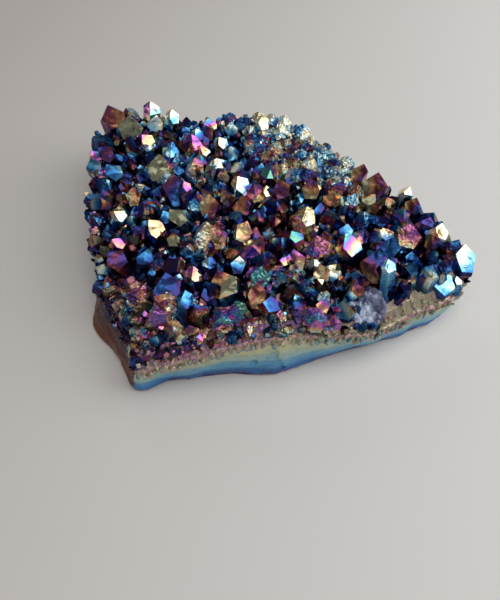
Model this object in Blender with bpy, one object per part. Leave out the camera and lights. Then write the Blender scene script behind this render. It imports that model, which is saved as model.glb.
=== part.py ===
"""Druse of titanium-coated quartz: crystals grown together on a broken slab of banded chalcedony.

One solid. The slab is a low block whose sides are the broken faces of the rock; the crystals stand
on its top as six-sided prisms cut to rhombohedral points, all joined to the slab and to each other.
Metres, +Z up, flat underside on Z = 0, front cut face towards -Y.
"""

import math
import random

import bmesh
import bpy
from mathutils import Matrix, Vector, noise

MM = 0.001

# ---------------------------------------------------------------- driving dimensions, in millimetres
# Broken edge of the slab, anticlockwise from the front left corner:
# x, y of the lip, height of the lip, height of the lower edge, how far the lip hangs out past the lower edge.
RIM = [
    (-26.6, -36.5, 7.0, 0.0, -0.9),
    (-22.5, -36.7, 8.2, 0.0, 0.4),
    (-17.1, -36.0, 9.5, 0.0, 0.5),
    (-8.4, -34.2, 11.5, 0.2, -0.2),
    (-2.6, -33.6, 13.0, 0.0, -0.8),
    (2.7, -33.2, 13.8, 0.0, -0.9),
    (9.1, -31.6, 12.2, 0.2, -0.3),
    (17.7, -30.1, 9.6, 0.6, 1.2),
    (25.7, -28.2, 9.2, 0.8, 1.7),
    (33.3, -24.0, 9.2, 0.2, 0.4),
    (40.0, -20.6, 8.2, 0.5, 0.2),
    (44.6, -17.4, 8.4, 1.0, 0.6),
    (46.6, -13.4, 9.6, 1.2, 1.2),
    (45.1, -8.0, 11.0, 0.8, 1.0),
    (41.6, -3.2, 11.8, 0.5, 0.6),
    (37.8, 1.2, 12.4, 0.3, 0.4),
    (34.2, 6.2, 13.2, 0.2, 0.0),
    (29.2, 10.2, 13.2, 0.3, -0.4),
    (25.7, 14.6, 13.2, 0.6, 0.4),
    (22.4, 19.8, 13.2, 0.2, 0.8),
    (18.3, 25.2, 13.2, 0.0, 0.6),
    (13.2, 30.6, 13.2, 0.4, 0.0),
    (7.2, 36.2, 13.2, 0.8, 0.6),
    (-2.0, 38.4, 13.2, 0.3, 0.8),
    (-10.9, 37.8, 13.2, 0.0, 0.2),
    (-17.9, 35.0, 13.2, 0.2, -0.4),
    (-24.3, 35.7, 13.2, 0.4, 0.2),
    (-30.9, 39.0, 13.2, 0.3, 0.8),
    (-38.8, 39.0, 13.2, 0.6, 1.0),
    (-42.5, 31.9, 13.2, 0.4, 0.6),
    (-43.3, 23.8, 13.2, 0.0, 0.2),
    (-42.8, 14.5, 13.2, 0.3, 0.4),
    (-41.4, 4.3, 13.0, 0.5, 0.8),
    (-39.5, -5.7, 12.4, 0.2, 0.2),
    (-37.8, -14.5, 10.6, 0.0, -1.2),
    (-36.2, -20.8, 8.4, 0.0, -2.4),
    (-33.2, -26.0, 7.8, 0.0, -2.6),
    (-30.0, -31.2, 7.4, 0.0, -2.0),
]
RIM_STEP = 4.6  # spacing of points round the edge
BED_HEIGHT = 14.0  # top of the rock in the middle, under the crystals
SLOPE_WIDTH = (5.0, 11.0)  # the rock's top rises from lip to middle over this width: elsewhere, and at the front left
FLAT_INSET = 5.0  # the flat underside starts this far in from the edge
ROOT_DEPTH = 2.6  # how deep a crystal is rooted in the rock
FACE_ANGLE = 51.8  # slope of a point's faces against the crystal's own cross plane, in degrees
OVERHANG = 1.5  # how far the outermost crystals' roots stand inside the lip
SMALLEST = 2.15  # radius of the smallest crystal in the crowd
CROWD = 0.90  # distance between two neighbours, as a share of their radii added up

WIDENED = 1.2  # every crystal is this much wider than its spacing, so that neighbours grow into each other

# Crystals that stand out: x, y, radius, how high the point stands over the rock, lean in degrees,
# direction of the lean, direction that face 0 of the point looks to, how far the three lesser faces are held back.
STANDING = [
    (-37.6, 32.6, 3.9, 6.4, 24, 130, -60, 0.30),
    (-33.7, 27.9, 3.4, 6.0, 16, 75, -95, 0.45),
    (-29.5, 34.7, 2.6, 5.8, 20, 95, -70, 0.20),
    (-27.6, 30.7, 2.4, 5.4, 12, 20, -110, 0.15),
    (-22.9, 30.3, 2.1, 5.2, 20, 80, -40, 0.25),
    (-17.2, 23.4, 3.0, 5.8, 14, 100, -80, 0.20),
    (-28.6, 24.5, 2.5, 5.4, 10, 200, -30, 0.30),
    (-8.6, 23.7, 2.2, 5.0, 22, 150, -75, 0.35),
    (-23.7, 19.6, 2.5, 5.4, 18, 10, -120, 0.20),
    (-34.5, 13.0, 2.8, 5.4, 22, 185, -50, 0.30),
    (-38.0, 20.3, 2.6, 5.0, 34, 175, -100, 0.25),
    (-25.6, 12.3, 3.4, 6.2, 12, 60, -85, 0.15),
    (-3.9, 8.1, 2.2, 5.0, 18, 140, -65, 0.40),
    (-19.8, 4.6, 4.1, 7.0, 8, 110, -100, 0.35),
    (0.5, 5.2, 2.0, 4.8, 16, 30, -45, 0.20),
    (0.6, 30.0, 2.2, 4.6, 26, 90, -90, 0.30),
    (-7.0, 29.2, 2.1, 4.6, 20, 120, -70, 0.20),
    (-12.8, 0.3, 2.8, 5.6, 14, 80, -88, 0.45),
    (-4.8, 2.5, 2.3, 5.2, 16, 260, -60, 0.25),
    (-18.6, -2.4, 2.5, 5.2, 24, 190, -105, 0.30),
    (-24.0, -6.4, 2.8, 5.6, 14, 150, -80, 0.20),
    (-27.7, -7.4, 2.3, 5.0, 18, 210, -40, 0.35),
    (-31.6, -2.5, 2.3, 5.2, 20, 170, -70, 0.25),
    (-20.3, -8.9, 2.3, 4.8, 12, 300, -95, 0.30),
    (-12.0, -7.9, 4.1, 6.4, 6, 60, -75, 0.10),
    (-5.2, -7.1, 2.5, 5.2, 20, 20, -100, 0.45),
    (25.9, 5.3, 3.3, 5.6, 20, 70, -80, 0.30),
    (22.2, 10.8, 2.3, 4.6, 26, 60, -60, 0.20),
    (32.5, 3.0, 2.1, 4.6, 24, 40, -50, 0.30),
    (34.2, -2.6, 2.4, 4.8, 22, 50, -95, 0.20),
    (12.0, 5.4, 2.8, 5.2, 14, 100, -110, 0.25),
    (14.8, 3.0, 2.2, 5.0, 20, 10, -70, 0.30),
    (5.3, 7.2, 2.6, 5.2, 16, 190, -85, 0.35),
    (10.5, -4.6, 3.6, 6.4, 18, 96, -92, 0.30),
    (20.3, -12.2, 3.3, 6.2, 16, 120, -62, 0.20),
    (32.9, -8.3, 2.8, 5.4, 14, 80, -86, 0.40),
    (28.1, -7.6, 2.6, 5.0, 24, 130, -70, 0.25),
    (38.5, -8.2, 2.2, 4.8, 26, 30, -50, 0.30),
    (37.9, -10.1, 2.2, 4.8, 16, 280, -80, 0.20),
    (37.8, -3.5, 2.1, 4.4, 30, 50, -100, 0.30),
    (45.0, -13.2, 3.2, 5.6, 24, 60, -62, 0.35),
    (39.9, -18.5, 3.2, 5.4, 10, 120, -66, 0.40),
    (41.1, -15.9, 2.4, 4.6, 24, 330, -75, 0.20),
    (37.9, -15.9, 2.6, 5.0, 14, 170, -95, 0.15),
    (24.3, -17.7, 3.9, 6.4, 17, 96, -90, 0.45),
    (28.1, -12.4, 2.8, 5.4, 20, 60, -110, 0.20),
    (12.3, -11.4, 3.1, 5.6, 12, 140, -80, 0.10),
    (7.3, -13.8, 2.5, 4.8, 20, 250, -60, 0.25),
    (12.9, -17.8, 2.0, 5.0, 18, 210, -90, 0.30),
    (14.9, -17.8, 2.0, 4.4, 14, 330, -70, 0.30),
    (6.2, -19.4, 2.5, 4.4, 22, 230, -95, 0.20),
    (-5.8, -17.1, 2.2, 4.8, 20, 80, -84, 0.30),
    (-7.7, -22.2, 3.3, 5.8, 14, 160, -74, 0.30),
    (-1.4, -21.4, 2.6, 4.8, 18, 270, -88, 0.25),
    (0.2, -17.9, 3.1, 5.4, 8, 40, -100, 0.10),
    (-20.1, -23.6, 3.2, 5.6, 16, 110, -78, 0.30),
    (-16.5, -25.9, 2.1, 4.4, 20, 30, -64, 0.35),
    (-26.8, -20.0, 2.4, 4.4, 28, 240, -90, 0.20),
    (-21.3, -26.8, 2.4, 4.2, 26, 250, -70, 0.25),
    (-22.1, -30.1, 2.4, 3.6, 22, 220, -80, 0.15),
    (-8.9, -28.9, 2.5, 4.4, 26, 265, -92, 0.10),
    (10.3, -27.1, 2.5, 4.4, 30, 275, -86, 0.15),
    (14.3, -26.3, 2.1, 4.0, 34, 285, -78, 0.20),
    (-5.0, -28.1, 2.3, 4.6, 18, 200, -100, 0.20),
    (0.9, -26.4, 2.1, 4.6, 22, 290, -70, 0.30),
    (7.1, -26.6, 2.5, 4.6, 14, 120, -84, 0.25),
    (19.3, -21.1, 2.2, 4.4, 20, 300, -60, 0.30),
    (12.2, -25.1, 2.2, 4.4, 16, 60, -96, 0.25),
    (-31.5, -12.5, 2.8, 4.6, 22, 185, -70, 0.20),
    (-26.5, -13.5, 2.3, 4.6, 16, 320, -90, 0.30),
]
# The bare patch: a stump of broken crystals with low tops. x, y, radius
STUMP = (23.4, -24.2, 3.6)


# ---------------------------------------------------------------- the rock's shape
def rim_points():
    """Evenly spaced points round the lip, from a smooth curve through RIM. Each is x, y, lip, foot, lean."""
    curve = []
    count = len(RIM)
    for i in range(count):
        before, here, after, beyond = (RIM[(i + k) % count] for k in (-1, 0, 1, 2))
        for step in range(24):
            t = step / 24
            curve.append(
                tuple(
                    0.5
                    * (
                        2 * b
                        + (c - a) * t
                        + (2 * a - 5 * b + 4 * c - d) * t * t
                        + (3 * b - a - 3 * c + d) * t**3
                    )
                    for a, b, c, d in zip(before, here, after, beyond)
                )
            )
    lengths = [0.0]
    for a, b in zip(curve, curve[1:] + curve[:1]):
        lengths.append(lengths[-1] + math.hypot(b[0] - a[0], b[1] - a[1]))
    wanted = round(lengths[-1] / RIM_STEP)
    points, at = [], 0
    for i in range(wanted):
        goal = lengths[-1] * i / wanted
        while lengths[at + 1] < goal:
            at += 1
        points.append(curve[at])
    return points


def outward(points, i):
    """Unit vector out of the rock at a rim point."""
    a, b = points[i - 1], points[(i + 1) % len(points)]
    along = Vector((b[0] - a[0], b[1] - a[1]))
    return Vector((along.y, -along.x)).normalized()


RIM_POINTS = rim_points()


def edge_distance(x, y):
    """Distance to the lip, negative outside, and the lip's height there."""
    best, height = 1e9, 0.0
    inside = False
    for a, b in zip(RIM_POINTS, RIM_POINTS[1:] + RIM_POINTS[:1]):
        dx, dy = b[0] - a[0], b[1] - a[1]
        t = max(0.0, min(1.0, ((x - a[0]) * dx + (y - a[1]) * dy) / (dx * dx + dy * dy)))
        away = math.hypot(x - a[0] - t * dx, y - a[1] - t * dy)
        if away < best:
            best, height = away, a[2] + t * (b[2] - a[2])
        if (a[1] > y) != (b[1] > y) and x < a[0] + (y - a[1]) / dy * dx:
            inside = not inside
    return (best if inside else -best), height


def bed(x, y):
    """Height of the rock's top under the crystals."""
    away, lip = edge_distance(x, y)
    gentle = max(0.0, min(1.0, (26 - x) / 14)) * max(0.0, min(1.0, (-8 - y) / 12))
    t = max(0.0, min(1.0, away / (SLOPE_WIDTH[0] + (SLOPE_WIDTH[1] - SLOPE_WIDTH[0]) * gentle)))
    t = t * t * (3 - 2 * t)
    waves = noise.noise(Vector((x / 17, y / 17, 3.7))) * 1.1
    return lip + (BED_HEIGHT + waves - lip) * t


def make_slab(collection):
    bm = bmesh.new()
    rim = RIM_POINTS
    middle = Vector((0.0, 0.0))
    for p in rim:
        middle += Vector((p[0], p[1])) / len(rim)

    def ring(place):
        return [place(i, p) for i, p in enumerate(rim)]

    def foot_at(i, p, inset):
        n = outward(rim, i)
        out = -p[4] - inset + 0.35 * noise.noise(Vector((p[0] / 3.1, p[1] / 3.1, 9.1)))
        return p[0] + n.x * out, p[1] + n.y * out

    def flat(i, p):
        x, y = foot_at(i, p, FLAT_INSET)
        return x, y, 0.0

    def foot(i, p):
        x, y = foot_at(i, p, 0.0)
        chip = max(0.0, noise.noise(Vector((p[0] / 4.5, p[1] / 4.5, 1.3)))) * 1.4
        return x, y, p[3] + chip

    def waist(i, p):
        n = outward(rim, i)
        out = -0.5 * p[4] + 0.55 * noise.noise(Vector((p[0] / 4.0, p[1] / 4.0, 5.5)))
        return p[0] + n.x * out, p[1] + n.y * out, 0.5 * (p[2] + p[3])

    def lip(i, p):
        n = outward(rim, i)
        out = 0.3 * noise.noise(Vector((p[0] / 2.7, p[1] / 2.7, 7.7)))
        return p[0] + n.x * out, p[1] + n.y * out, p[2]

    def inner(share, inset):
        def place(i, p):
            n = outward(rim, i)
            at = Vector((p[0] - n.x * inset, p[1] - n.y * inset))
            at = at.lerp(middle, share)
            return at.x, at.y, bed(at.x, at.y)

        return place

    rings = [
        ring(flat),
        ring(foot),
        ring(waist),
        ring(lip),
        ring(inner(0.12, 2.2)),
        ring(inner(0.50, 2.2)),
    ]
    # The underside is one flat face; every next ring is extruded from the last one.
    under = bm.faces.new([bm.verts.new(Vector(p) * MM) for p in rings[0]])
    bm.normal_update()
    edges = list(under.edges)
    for places in rings[1:]:
        grown = bmesh.ops.extrude_edge_only(bm, edges=edges)["geom"]
        edges = [e for e in grown if isinstance(e, bmesh.types.BMEdge)]
        verts = [v for v in grown if isinstance(v, bmesh.types.BMVert)]
        last = rings[rings.index(places) - 1]
        for v in verts:
            i = min(
                range(len(last)),
                key=lambda k: (Vector(last[k]) * MM - v.co).length_squared,
            )
            v.co = Vector(places[i]) * MM
    cap = bmesh.ops.contextual_create(bm, geom=edges)["faces"]
    bmesh.ops.poke(bm, faces=cap)
    bmesh.ops.recalc_face_normals(bm, faces=bm.faces)
    return to_object(bm, "druzy_cluster", collection)


# ---------------------------------------------------------------- the crystals' shapes
def make_crystal(bm, spec):
    """A six-sided prism cut to a point by six planes, rooted in the rock."""
    x, y, radius, height, lean, lean_to, face_to, held_back, flatness, seed = spec
    dice = random.Random(seed)
    length = (height + ROOT_DEPTH) * MM
    radius *= WIDENED * MM
    bmesh.ops.create_cone(
        bm,
        cap_ends=True,
        cap_tris=False,
        segments=6,
        radius1=radius * 0.86,
        radius2=radius,
        depth=length * 2,
        matrix=Matrix.Rotation(math.radians(30), 4, "Z"),
    )
    bmesh.ops.scale(bm, vec=(1.0, flatness, 1.0), verts=bm.verts)
    slope = math.radians(FACE_ANGLE)
    for k in range(6):
        turn = math.radians(60 * k)
        normal = Vector(
            (math.sin(slope) * math.cos(turn), math.sin(slope) * math.sin(turn), math.cos(slope))
        )
        back = dice.uniform(-0.10, 0.06) if k % 2 == 0 else held_back + dice.uniform(-0.06, 0.12)
        place = Vector((0, 0, length)) + normal * back * radius
        cut = bmesh.ops.bisect_plane(
            bm,
            geom=bm.verts[:] + bm.edges[:] + bm.faces[:],
            plane_co=place,
            plane_no=normal,
            clear_outer=True,
        )
        rim = [e for e in cut["geom_cut"] if isinstance(e, bmesh.types.BMEdge)]
        if len(rim) > 2:
            bmesh.ops.edgeloop_fill(bm, edges=rim)
    # The lower half of the prism is cut away at the root.
    cut = bmesh.ops.bisect_plane(
        bm,
        geom=bm.verts[:] + bm.edges[:] + bm.faces[:],
        plane_co=(0, 0, 0),
        plane_no=(0, 0, -1),
        clear_outer=True,
    )
    bmesh.ops.edgeloop_fill(
        bm, edges=[e for e in cut["geom_cut"] if isinstance(e, bmesh.types.BMEdge)]
    )
    bmesh.ops.remove_doubles(bm, verts=bm.verts, dist=0.00002)
    bmesh.ops.recalc_face_normals(bm, faces=bm.faces)
    axis = Matrix.Rotation(math.radians(lean), 4, Vector((-math.sin(math.radians(lean_to)), math.cos(math.radians(lean_to)), 0)))
    rooted = Vector((x, y, bed(x, y) - ROOT_DEPTH * math.cos(math.radians(lean)))) * MM
    bm.transform(
        Matrix.Translation(rooted)
        @ axis
        @ Matrix.Rotation(math.radians(face_to), 4, "Z")
    )


def crystal_specs():
    """The crystals that stand out, then a crowd of lesser ones in the room between them."""
    dice = random.Random(22)
    specs = []
    for i, (x, y, radius, height, lean, lean_to, face_to, held) in enumerate(STANDING):
        specs.append((x, y, radius, height, lean, lean_to, face_to, held, 0.94, 100 + i))
    taken = [(s[0], s[1], s[2]) for s in specs] + [STUMP]
    low = [min(p[k] for p in RIM_POINTS) for k in (0, 1)]
    high = [max(p[k] for p in RIM_POINTS) for k in (0, 1)]
    for size in (2.9, 2.5, SMALLEST):
        for _ in range(2600):
            x = dice.uniform(low[0], high[0])
            y = dice.uniform(low[1], high[1])
            radius = size * dice.uniform(0.94, 1.08)
            lean_size = abs(dice.gauss(0, 13)) + 4
            lean_to = dice.uniform(0, 360)
            face_to = dice.uniform(0, 360)
            held = dice.uniform(0.0, 0.45)
            flatness = dice.uniform(0.84, 1.0)
            # Crystals are smaller along the front lip and towards the far right.
            fine = max(0.0, min(1.0, (x + y * 0.6 - 6) / 34))
            front = max(0.0, min(1.0, (-20 - y) / 12))
            if radius > 3.1 - 0.6 * fine - 0.5 * front:
                continue
            away, _lip = edge_distance(x, y)
            if away < OVERHANG:
                continue
            if any(
                math.hypot(x - a, y - b) < CROWD * (radius + c) for a, b, c in taken
            ):
                continue
            # Near the edge they fan out over the broken face.
            near = max(0.0, 1 - away / 5.0)
            lean_v = Vector((math.cos(math.radians(lean_to)), math.sin(math.radians(lean_to)))) * lean_size
            drift = [noise.noise(Vector((x / 11, y / 11, level))) for level in (2.2, 8.8)]
            lean_v += Vector(drift) * 16
            i = min(range(len(RIM_POINTS)), key=lambda k: math.hypot(RIM_POINTS[k][0] - x, RIM_POINTS[k][1] - y))
            lean_v += outward(RIM_POINTS, i) * near * 18
            lean_size = min(46.0, lean_v.length)
            lean_to = math.degrees(math.atan2(lean_v.y, lean_v.x))
            height = radius * dice.uniform(1.5, 2.1) + 0.6
            taken.append((x, y, radius))
            specs.append((x, y, radius, height, lean_size, lean_to, face_to, held, flatness, 1000 + len(specs)))
    # The stump: three low broken crystals.
    for k in range(3):
        turn = math.radians(120 * k + 20)
        specs.append(
            (
                STUMP[0] + 1.1 * math.cos(turn),
                STUMP[1] + 1.1 * math.sin(turn),
                2.2,
                3.0 + 0.5 * k,
                12,
                120 * k,
                40 * k,
                0.1,
                0.95,
                5000 + k,
            )
        )
    return specs


# ---------------------------------------------------------------- building
def to_object(bm, name, collection):
    mesh = bpy.data.meshes.new(name)
    bm.to_mesh(mesh)
    bm.free()
    obj = bpy.data.objects.new(name, mesh)
    collection.objects.link(obj)
    return obj


def coated_quartz():
    material = bpy.data.materials.new("aura_coating")
    material.use_nodes = True
    shader = material.node_tree.nodes["Principled BSDF"]
    shader.inputs["Base Color"].default_value = (0.13, 0.10, 0.34, 1.0)
    shader.inputs["Metallic"].default_value = 0.9
    shader.inputs["Roughness"].default_value = 0.22
    return material


def main():
    for obj in list(bpy.data.objects):
        bpy.data.objects.remove(obj, do_unlink=True)
    shown = bpy.data.collections.new("druzy_cluster")
    shapes = bpy.data.collections.new("crystal_shapes")
    shapes.hide_render = True
    bpy.context.scene.collection.children.link(shown)
    bpy.context.scene.collection.children.link(shapes)

    slab = make_slab(shown)
    slab.data.materials.append(coated_quartz())
    pieces = [slab]
    for i, spec in enumerate(crystal_specs()):
        bm = bmesh.new()
        make_crystal(bm, spec)
        crystal = to_object(bm, f"crystal_{i:03d}", shapes)
        crystal.hide_render = True
        crystal.display_type = "WIRE"
        pieces.append(crystal)

    # The origin goes under the middle of the whole cluster, on the plane it rests on.
    points = [v.co for piece in pieces for v in piece.data.vertices]
    middle = [(min(p[k] for p in points) + max(p[k] for p in points)) / 2 for k in (0, 1)]
    for piece in pieces:
        piece.data.transform(Matrix.Translation((-middle[0], -middle[1], 0.0)))

    join = slab.modifiers.new("grown_together", "BOOLEAN")
    join.operation = "UNION"
    # The exact solver leaves open edges among this many crossing crystals.
    join.solver = "MANIFOLD"
    join.operand_type = "COLLECTION"
    join.collection = shapes
    thin = slab.modifiers.new("flat_faces", "DECIMATE")
    thin.decimate_type = "DISSOLVE"
    thin.angle_limit = math.radians(0.5)


main()
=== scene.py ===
"""Looks of the titanium aura druzy cluster: fine rock, crystals, coating, light and camera."""

import math
import random

import bmesh
import bpy
import numpy as np
from mathutils import Matrix, Vector, noise


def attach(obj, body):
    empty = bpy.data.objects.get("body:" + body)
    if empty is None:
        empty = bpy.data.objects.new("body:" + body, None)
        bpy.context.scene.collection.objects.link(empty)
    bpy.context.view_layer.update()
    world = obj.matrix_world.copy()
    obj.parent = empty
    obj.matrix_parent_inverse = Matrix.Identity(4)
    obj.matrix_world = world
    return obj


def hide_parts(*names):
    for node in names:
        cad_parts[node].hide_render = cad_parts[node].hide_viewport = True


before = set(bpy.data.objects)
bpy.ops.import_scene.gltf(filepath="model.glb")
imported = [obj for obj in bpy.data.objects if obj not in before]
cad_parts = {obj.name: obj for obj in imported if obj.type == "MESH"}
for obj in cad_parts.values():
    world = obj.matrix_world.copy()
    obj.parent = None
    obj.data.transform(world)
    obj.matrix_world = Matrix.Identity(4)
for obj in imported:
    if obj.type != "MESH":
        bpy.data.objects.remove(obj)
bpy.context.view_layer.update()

MM = 0.001
SHIFT = (-2.3033, 0.3791)  # from the outline's own frame to the origin under the middle of the cluster

# ------------------------------------------------------------------ the rock's outline, as in the solid
# x, y of the lip, height of the lip, height of the lower edge, how far the lip hangs out past the lower edge
RIM = [
    (-27.2, -36.8, 7.0, 0.0, -1.5),
    (-22.5, -36.7, 8.2, 0.0, 0.4),
    (-17.1, -36.0, 9.5, 0.0, 0.5),
    (-8.4, -34.2, 11.5, 0.2, -0.2),
    (-2.6, -33.6, 13.0, 0.0, -0.8),
    (2.7, -33.2, 13.8, 0.0, -0.9),
    (9.1, -31.6, 12.2, 0.2, -0.3),
    (17.7, -30.1, 9.6, 0.6, 1.2),
    (25.7, -28.2, 9.2, 0.8, 1.7),
    (33.3, -24.0, 9.2, 0.2, 0.4),
    (40.0, -20.6, 8.2, 0.5, 0.2),
    (44.6, -17.4, 8.4, 1.0, 0.6),
    (46.6, -13.4, 9.6, 1.2, 1.2),
    (45.1, -8.0, 11.0, 0.8, 1.0),
    (41.6, -3.2, 11.8, 0.5, 0.6),
    (37.8, 1.2, 12.4, 0.3, 0.4),
    (34.2, 6.2, 13.2, 0.2, 0.0),
    (29.2, 10.2, 13.2, 0.3, -0.4),
    (25.7, 14.6, 13.2, 0.6, 0.4),
    (22.4, 19.8, 13.2, 0.2, 0.8),
    (18.3, 25.2, 13.2, 0.0, 0.6),
    (13.2, 30.6, 13.2, 0.4, 0.0),
    (7.2, 36.2, 13.2, 0.8, 0.6),
    (-2.0, 38.4, 13.2, 0.3, 0.8),
    (-10.9, 37.8, 13.2, 0.0, 0.2),
    (-17.9, 35.0, 13.2, 0.2, -0.4),
    (-24.3, 35.7, 13.2, 0.4, 0.2),
    (-30.9, 39.0, 13.2, 0.3, 0.8),
    (-38.8, 39.0, 13.2, 0.6, 1.0),
    (-42.5, 31.9, 13.2, 0.4, 0.6),
    (-43.3, 23.8, 13.2, 0.0, 0.2),
    (-42.8, 14.5, 13.2, 0.3, 0.4),
    (-41.4, 4.3, 13.0, 0.5, 0.8),
    (-39.5, -5.7, 12.4, 0.2, 0.2),
    (-37.3, -14.5, 10.6, 0.0, -3.4),
    (-35.4, -20.5, 8.6, 0.0, -4.8),
    (-32.1, -25.5, 8.0, 0.0, -3.9),
    (-29.0, -30.7, 7.6, 0.0, -3.2),
]
CAMERA_AT = Vector(((-3.0 + SHIFT[0]) * MM, (-90.5 + SHIFT[1]) * MM, 108.0 * MM))
BED_HEIGHT = 13.6
SLOPE_WIDTH = (5.0, 11.0)
ROOT_DEPTH = 2.4
FACE_ANGLE = 51.8

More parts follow.
